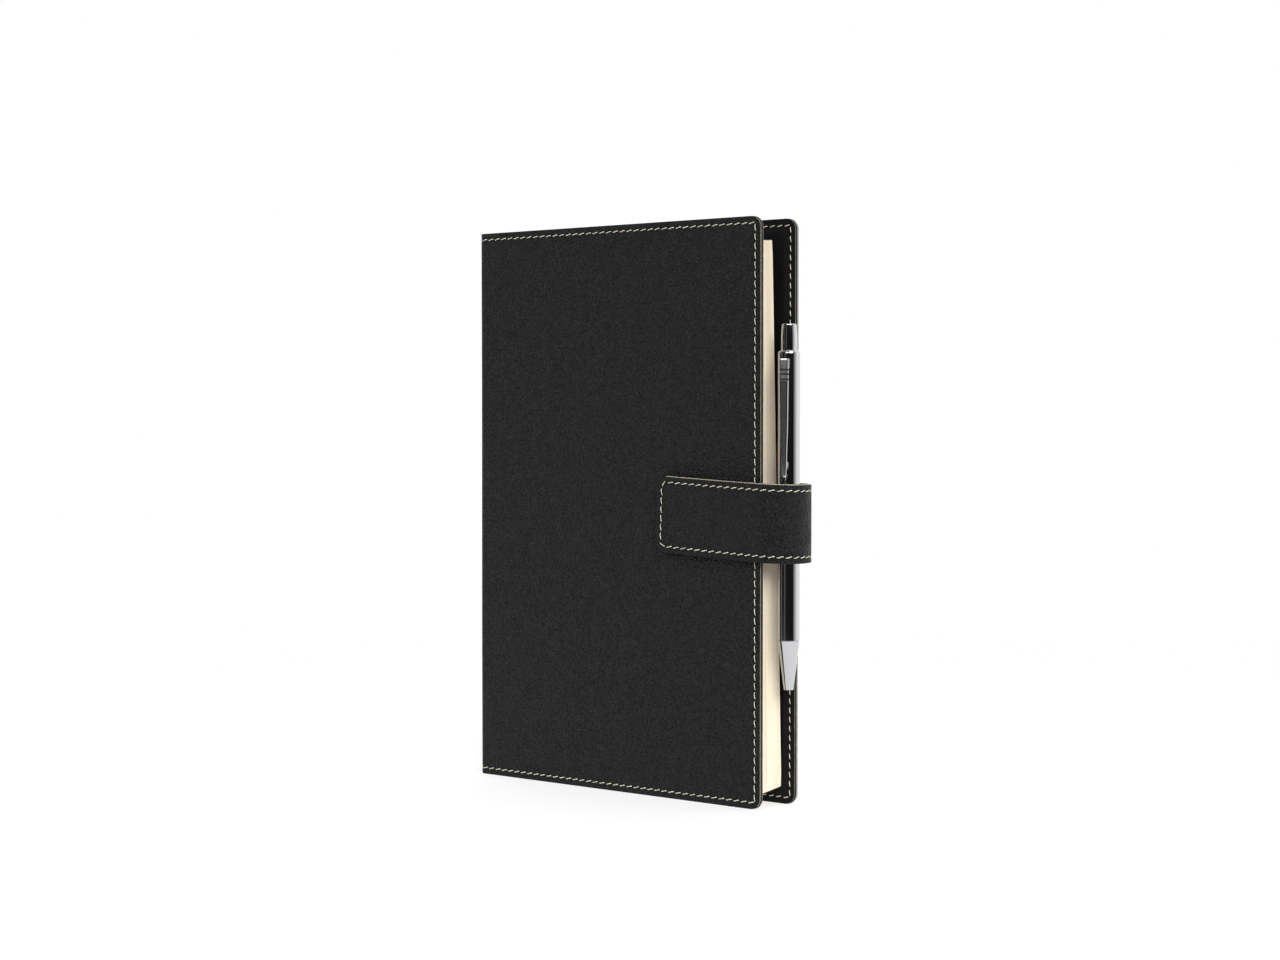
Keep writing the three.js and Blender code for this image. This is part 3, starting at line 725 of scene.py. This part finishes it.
mull_cloth = new_material("binding_cloth", (0.7, 0.66, 0.56), 0.9, specular=0.2)
mull_uv = place_on(mull_cloth, "UV")
weave = {"Vector": mull_uv, "Scale": 260, "Distortion": 0.4}
weave_along = add_node(mull_cloth, "TexWave", weave, bands_direction="X")
weave_across = add_node(mull_cloth, "TexWave", weave, bands_direction="Y")
blotch(mull_cloth, place_on(mull_cloth), (0.62, 0.58, 0.48), (0.78, 0.74, 0.64), scale=700)
emboss(mull_cloth, (weave_along.outputs["Fac"], 0.4, 0.0002),
       (weave_across.outputs["Fac"], 0.4, 0.0002))
mull_low, mull_high = (np.array(c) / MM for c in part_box("insert_binding"))
fold_pitch = 1.18


def over_folds(s, z, depth):
    """s runs across the folds. The strip lies on their rounded backs, so its depth changes by
    0.15 cos(2 pi (s - 0.5) / pitch) mm."""
    wave = 0.15 * np.cos(2 * np.pi * (s - 0.5) / fold_pitch)
    return np.stack([mull_low[0] + 0.2 + depth + wave, mull_low[1] + s, z + 0 * s], -1)


mull = make_sheet(
    "binding_strip", lines(0, mull_high[1] - mull_low[1], 0.25),
    lines(mull_low[2], mull_high[2], 8), over_folds,
    ((0.05, 0.0, 0), (0.0, 0.1, 0), (0.0, 0.4, 0), (0.05, 0.5, 0)), [mull_cloth],
)
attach(mull, "back_cover")
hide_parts("insert_binding")

# ---- Card covers of the insert ------------------------------------------------------------
# A black card outside the first and the last section, which slides into the pocket.

card_black = new_material("card_black", (0.012, 0.012, 0.012), 0.7, specular=0.35)
card_vector = place_on(card_black)
blotch(card_black, card_vector, (0.010, 0.010, 0.010), (0.016, 0.016, 0.016), scale=300)
card_fibres = add_node(card_black, "TexNoise", {"Vector": card_vector, "Scale": 1800})
emboss(card_black, (card_fibres.outputs["Fac"], 0.25, 0.0002))
for name in ("insert_card_front", "insert_card_back"):
    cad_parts[name].data.materials.clear()
    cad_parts[name].data.materials.append(card_black)

# ---- Pen: barrel, tip and button ----------------------------------------------------------
# Turned brass tubes, polished and chrome plated. The tip is a cone that screws into the
# barrel, and the button slides in the barrel's rounded shoulder.

chrome = new_material("chrome_polished", (0.56, 0.56, 0.575), 0.06, metallic=1)
chrome_vector = place_on(chrome, scale=(1, 1, 0.1))
blotch(chrome, chrome_vector, 0.045, 0.08, at="Roughness", scale=300)

barrel_low, barrel_high = (np.array(c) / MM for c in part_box("pen_barrel"))
tip_low, tip_high = (np.array(c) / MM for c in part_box("pen_tip"))
button_low, button_high = (np.array(c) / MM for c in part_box("pen_button"))
pen_x = (barrel_low[0] + barrel_high[0]) / 2
barrel_top = barrel_high[2]
barrel_radius = 4.15
bore_radius = 3.35


def arc(centre_r, centre_z, radius, start, end, steps=8):
    """Points on a circle in the plane of radius and height, between two angles in degrees."""
    angle = np.radians(np.linspace(start, end, steps))
    return np.stack([centre_r + radius * np.cos(angle), centre_z + radius * np.sin(angle)], -1)


def make_turned(name, profile, sides=72):
    """The profile's (radius, height) points turned round the pen's axis. It closes on itself,
    or begins and ends on the axis."""
    profile = np.asarray(profile, float)
    closed = profile[0, 0] > 0
    ring = profile if closed else profile[1:-1]
    angle = np.arange(sides) * 2 * np.pi / sides
    x = pen_x + ring[:, :1] * np.cos(angle)
    y = ring[:, :1] * np.sin(angle)
    z = np.broadcast_to(ring[:, 1:], x.shape)
    points = np.stack([x, y, z], -1).reshape(-1, 3)
    index = np.arange(len(ring) * sides).reshape(len(ring), sides)
    after = np.roll(index, -1, axis=1)
    following = np.roll(index, -1, axis=0)
    if not closed:
        index, after, following = index[:-1], after[:-1], index[1:]
    quads = np.stack([index, after, np.roll(following, -1, axis=1), following], -1)
    faces = [list(f) for f in quads.reshape(-1, 4)]
    if not closed:
        low, high = len(points), len(points) + 1
        axis_points = [(pen_x, 0, profile[0, 1]), (pen_x, 0, profile[-1, 1])]
        points = np.concatenate([points, axis_points])
        first, last = np.arange(sides), (len(ring) - 1) * sides + np.arange(sides)
        faces += [[low, b, a] for a, b in zip(first, np.roll(first, -1))]
        faces += [[high, a, b] for a, b in zip(last, np.roll(last, -1))]
    return make_mesh(name, points, faces, [chrome], crease=32)


shoulder_height, shoulder_depth = 1.15, 0.85
shoulder = barrel_top - shoulder_height
barrel = make_turned("pen_barrel_turned", np.concatenate([
    [(bore_radius, barrel_low[2]), (4.08, barrel_low[2]), (barrel_radius, barrel_low[2] + 0.07),
     (barrel_radius, barrel_low[2] + 50), (barrel_radius, shoulder)],
    [(barrel_radius - shoulder_depth * (1 - np.cos(a)), shoulder + shoulder_height * np.sin(a))
     for a in np.radians(np.linspace(8, 90, 12))],
    [(3.12, barrel_top - 0.1), (3.1, barrel_top - 2), (bore_radius, barrel_top - 2)],
]))
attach(barrel, "pen")
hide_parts("pen_barrel")

tip_joint = barrel_low[2] - 0.15
tip_step = tip_low[2] + 9.4
tip = make_turned("pen_tip_turned", np.concatenate([
    [(1.35, tip_low[2] + 0.1)],
    arc(1.62, tip_low[2] + 0.2, 0.2, -90, -10, 5),
    [(4.1, tip_joint - 0.08), (4.04, tip_joint), (3.15, tip_joint), (3.15, tip_high[2]),
     (2.4, tip_high[2]), (2.4, tip_step), (1.35, tip_step)],
]))
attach(tip, "pen")
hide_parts("pen_tip")

button = make_turned("pen_button_turned", np.concatenate([
    [(0, button_low[2]), (3.15, button_low[2]), (3.15, barrel_top - 2.4),
     (3.02, barrel_top - 2.4), (3.02, barrel_top + 3.5), (2.98, barrel_top + 5.5),
     (2.88, barrel_top + 7.5), (2.74, barrel_top + 9.4)],
    [(2.36 + 0.36 * np.cos(a), barrel_top + 9.6 + 0.4 * np.sin(a))
     for a in np.radians(np.linspace(5, 85, 7))],
    [(1.2, button_high[2] - 0.08), (0, button_high[2])],
]))
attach(button, "pen_button")
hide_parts("pen_button")

# ---- Pen: clip ----------------------------------------------------------------------------
# Sheet steel, pressed and chrome plated. It has a square tab at its upper end, a satin face,
# three grooves at the tab painted black as painted shade, bright bevels, and a narrow bent tip.

clip_low, clip_high = (np.array(c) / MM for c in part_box("pen_clip"))
clip_angle = np.radians(-72)
clip_foot, clip_top, clip_bottom = 4.45, clip_high[2] - 0.5, clip_low[2] - 1.5
clip_satin = new_material("clip_face_satin", (0.5, 0.49, 0.51), 0.16, metallic=1)
blotch(clip_satin, place_on(clip_satin), 0.14, 0.18, at="Roughness", scale=500)
tab_satin = new_material("clip_tab_satin", (0.52, 0.52, 0.53), 0.28, metallic=1)
blotch(tab_satin, place_on(tab_satin), 0.26, 0.31, at="Roughness", scale=500)
# Painted shade: a black matt finish laid in the chrome grooves stands for the shade in them.
groove_painted_shade = new_material("clip_groove_painted_shade", (0.006, 0.006, 0.006), 0.5)
blotch(groove_painted_shade, place_on(groove_painted_shade), 0.45, 0.6, at="Roughness", scale=400)


def make_clip():
    """A cross-section of eight points, carried down the clip. At each height it has a half
    width, an outer radius and an inner radius. The outer corners are bevelled by up to 0.5 mm
    across and 0.42 mm deep. The grooves are steps of 0.28 mm in the outer radius."""
    grooves = clip_top - np.array([4.13, 5.8, 7.75])
    heights = [clip_top, clip_top - 0.12]
    for g in grooves:
        heights += [g + 0.34, g + 0.3, g - 0.3, g - 0.34]
    heights = np.concatenate([
        heights, np.linspace(clip_top - 0.5, grooves[0] + 0.6, 5),
        np.linspace(grooves[-1] - 0.6, clip_bottom + 0.25, 40), [clip_bottom + 0.08],
    ])
    z = np.sort(np.unique(np.round(heights, 4)))[::-1]
    down = (clip_top - z) / (clip_top - clip_bottom)
    half = np.interp(down, [0, 0.22, 0.6, 0.86, 0.97, 1], [1.75, 1.7, 1.45, 1.02, 0.66, 0.35])
    outer = np.interp(down, [0, 0.012, 0.3, 0.75, 0.86, 0.97, 1.0],
                      [2.0, 2.15, 2.15, 1.95, 1.75, 1.45, 0.75]) + clip_foot
    inner = np.interp(down, [0, 0.06, 0.1, 0.7, 0.84, 0.93, 0.975, 1.0],
                      [0.02, 0.02, 1.25, 1.1, 0.75, 0.15, 0.02, 0.2]) + clip_foot
    in_groove = (np.abs(z[:, None] - grooves) < 0.32).any(1)
    outer = np.where(in_groove, outer - 0.28, outer)
    bevel = np.minimum(0.5, half * 0.45)
    deep = np.minimum(0.42, (outer - inner) * 0.5)
    edge = np.stack([
        np.stack([-half, inner], -1), np.stack([-half, outer - deep], -1),
        np.stack([-half + bevel * 0.35, outer - deep * 0.25], -1),
        np.stack([-half + bevel, outer], -1), np.stack([half - bevel, outer], -1),
        np.stack([half - bevel * 0.35, outer - deep * 0.25], -1),
        np.stack([half, outer - deep], -1), np.stack([half, inner], -1),
    ], 1)
    across, out = edge[..., 0], edge[..., 1]
    x = pen_x + out * np.cos(clip_angle) - across * np.sin(clip_angle)
    y = out * np.sin(clip_angle) + across * np.cos(clip_angle)
    points = np.stack([x, y, np.broadcast_to(z[:, None], x.shape)], -1).reshape(-1, 3)
    index = np.arange(len(points)).reshape(-1, 8)
    quads = np.stack([index[:-1], np.roll(index[:-1], -1, 1), np.roll(index[1:], -1, 1),
                      index[1:]], -1)
    kind = np.zeros(quads.shape[:2], int)
    middle = (z[:-1] + z[1:]) / 2
    tab_end = grooves[-1] - 0.9
    kind[:, 3] = np.where(middle > tab_end, 3, 2)
    # Painted shade: every face in the grooves takes the black finish.
    kind[np.abs(middle[:, None] - grooves).min(1) < 0.31, :] = 1
    faces = [list(f) for f in quads.reshape(-1, 4)] + [list(index[0]), list(index[-1][::-1])]
    kinds = np.concatenate([kind.ravel(), [0, 0]])
    finishes = [chrome, groove_painted_shade, clip_satin, tab_satin]
    return make_mesh("pen_clip_pressed", points, faces, finishes, kinds, crease=10)


clip = make_clip()
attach(clip, "pen_clip")
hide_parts("pen_clip")

# ---- Pen: works ---------------------------------------------------------------------------
# Inside the barrel: a brass refill with a steel ball point, a brass cam and a steel spring.

brass_turned = new_material("brass_turned", (0.62, 0.44, 0.2), 0.3, metallic=1)
blotch(brass_turned, place_on(brass_turned), 0.24, 0.4, at="Roughness", scale=400)
for name, finish in (("pen_refill", brass_turned), ("pen_cam", brass_turned),
                     ("pen_ball_tip", steel_drawn)):
    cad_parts[name].data.materials.clear()
    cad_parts[name].data.materials.append(finish)

spring_low, spring_high = (np.array(c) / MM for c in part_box("pen_spring"))


def wind_spring(turns=8, wire=0.18, sides=6):
    """A round wire on a helix. At t from 0 to 1 along the wire its height is the spring's
    height times t - 0.75 sin(2 pi t) / (2 pi), so the coils lie closer at both ends."""
    t = np.linspace(0, 1, turns * 20 + 1)
    angle = 2 * np.pi * turns * t
    radius = (spring_high[1] - spring_low[1]) / 2 - wire
    low, high = spring_low[2] + wire, spring_high[2] - wire
    z = low + (high - low) * (t - 0.75 * np.sin(2 * np.pi * t) / (2 * np.pi))
    outwards = np.stack([np.cos(angle), np.sin(angle), 0 * t], -1)
    centre = np.array([pen_x, 0, 0]) + radius * outwards
    centre[:, 2] = z
    ahead = np.gradient(centre, axis=0)
    ahead /= np.linalg.norm(ahead, axis=1)[:, None]
    upwards = np.cross(outwards, ahead)
    a = (np.arange(sides) * 2 * np.pi / sides)[None, :, None]
    round_wire = np.cos(a) * outwards[:, None] + np.sin(a) * upwards[:, None]
    points = centre[:, None] + wire * round_wire
    ring = np.arange(len(t) * sides).reshape(len(t), sides)
    quads = np.stack([ring[:-1], np.roll(ring[:-1], -1, 1), np.roll(ring[1:], -1, 1), ring[1:]],
                     -1)
    faces = [list(f) for f in quads.reshape(-1, 4)] + [list(ring[0]), list(ring[-1][::-1])]
    return make_mesh("pen_spring_wound", points.reshape(-1, 3), faces, [steel_drawn], crease=80)


spring = wind_spring()
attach(spring, "pen")
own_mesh(spring)
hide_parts("pen_spring")

# ---- Stage --------------------------------------------------------------------------------
# A plain pale floor that glows a little, soft light from the front and the right, a dim lamp
# on the left, and the camera to the right of the front cover, a little above the middle.

floor_radius, floor_points = 0.5, 96
rim = np.arange(floor_points) * 2 * np.pi / floor_points
disc = floor_radius * np.stack([np.cos(rim), np.sin(rim), 0 * rim], -1)
floor_mesh = bpy.data.meshes.new("floor")
floor_mesh.from_pydata(disc.tolist(), [], [tuple(range(floor_points))])
floor = bpy.data.objects.new("floor", floor_mesh)
bpy.context.scene.collection.objects.link(floor)
floor_white = new_material("floor_white", (0.47, 0.47, 0.47), 0.9, specular=0.1)
floor_shader = floor_white.node_tree.nodes["Principled BSDF"]
floor_shader.inputs["Emission Color"].default_value = (1, 1, 1, 1)
floor_shader.inputs["Emission Strength"].default_value = 0.55
floor_mesh.materials.append(floor_white)

# The camera sees plain white. Everything else is lit and mirrored by a room that is bright
# behind the book and dark in front of it.
world = bpy.data.worlds.new("studio")
bpy.context.scene.world = world
world.use_nodes = True
tree = world.node_tree
background = tree.nodes["Background"]
seen = tree.nodes.new("ShaderNodeBackground")
seen.inputs["Color"].default_value = (1, 1, 1, 1)
seen.inputs["Strength"].default_value = 1.0
ray = tree.nodes.new("ShaderNodeLightPath")
either = tree.nodes.new("ShaderNodeMixShader")
direction = tree.nodes.new("ShaderNodeTexCoord")
facing = tree.nodes.new("ShaderNodeVectorMath")
facing.operation = "DOT_PRODUCT"
facing.inputs[1].default_value = Vector((0.375, -0.927, 0.0)).normalized()
ramp = tree.nodes.new("ShaderNodeMapRange")
ramp.inputs["From Min"].default_value = -0.3
ramp.inputs["From Max"].default_value = 0.53
ramp.inputs["To Min"].default_value = 1.2
ramp.inputs["To Max"].default_value = 0.012
tree.links.new(direction.outputs["Generated"], facing.inputs[0])
tree.links.new(facing.outputs["Value"], ramp.inputs["Value"])
tree.links.new(ramp.outputs["Result"], background.inputs["Strength"])
background.inputs["Color"].default_value = (1, 1, 1, 1)
tree.links.new(ray.outputs["Is Camera Ray"], either.inputs["Fac"])
tree.links.new(background.outputs["Background"], either.inputs[1])
tree.links.new(seen.outputs["Background"], either.inputs[2])
tree.links.new(either.outputs["Shader"], tree.nodes["World Output"].inputs["Surface"])


def add_sun(name, azimuth, elevation, strength, width):
    """Even light from one direction, soft over width degrees. All angles are in degrees."""
    sun = bpy.data.lights.new(name, "SUN")
    sun.energy = strength
    sun.angle = np.radians(width)
    piece = bpy.data.objects.new(name, sun)
    piece.rotation_euler = (np.radians(90 - elevation), 0, np.radians(azimuth + 90))
    bpy.context.scene.collection.objects.link(piece)


add_sun("light_front", -78, 29, 1.0, 28)
add_sun("light_right", -32, 31, 2.5, 36)

lamp = bpy.data.lights.new("lamp_left", "AREA")
lamp.shape = "RECTANGLE"
lamp.size, lamp.size_y, lamp.energy = 0.45, 1.2, 0.15
lamp_left = bpy.data.objects.new("lamp_left", lamp)
lamp_left.location = (-0.1, -1.49, 0.12)
lamp_left.rotation_euler = (np.radians(90), 0, np.radians(-96.5 + 90))
bpy.context.scene.collection.objects.link(lamp_left)

camera_data = bpy.data.cameras.new("camera")
camera_data.lens = 65.9
camera_data.sensor_width = 36
camera = bpy.data.objects.new("camera", camera_data)
camera.location = (0.5878, -0.7106, 0.1480)
camera.rotation_euler = (np.radians(90 - 1.60), 0, np.radians(39.633))
bpy.context.scene.collection.objects.link(camera)
bpy.context.scene.camera = camera
bpy.context.scene.view_settings.view_transform = "Standard"
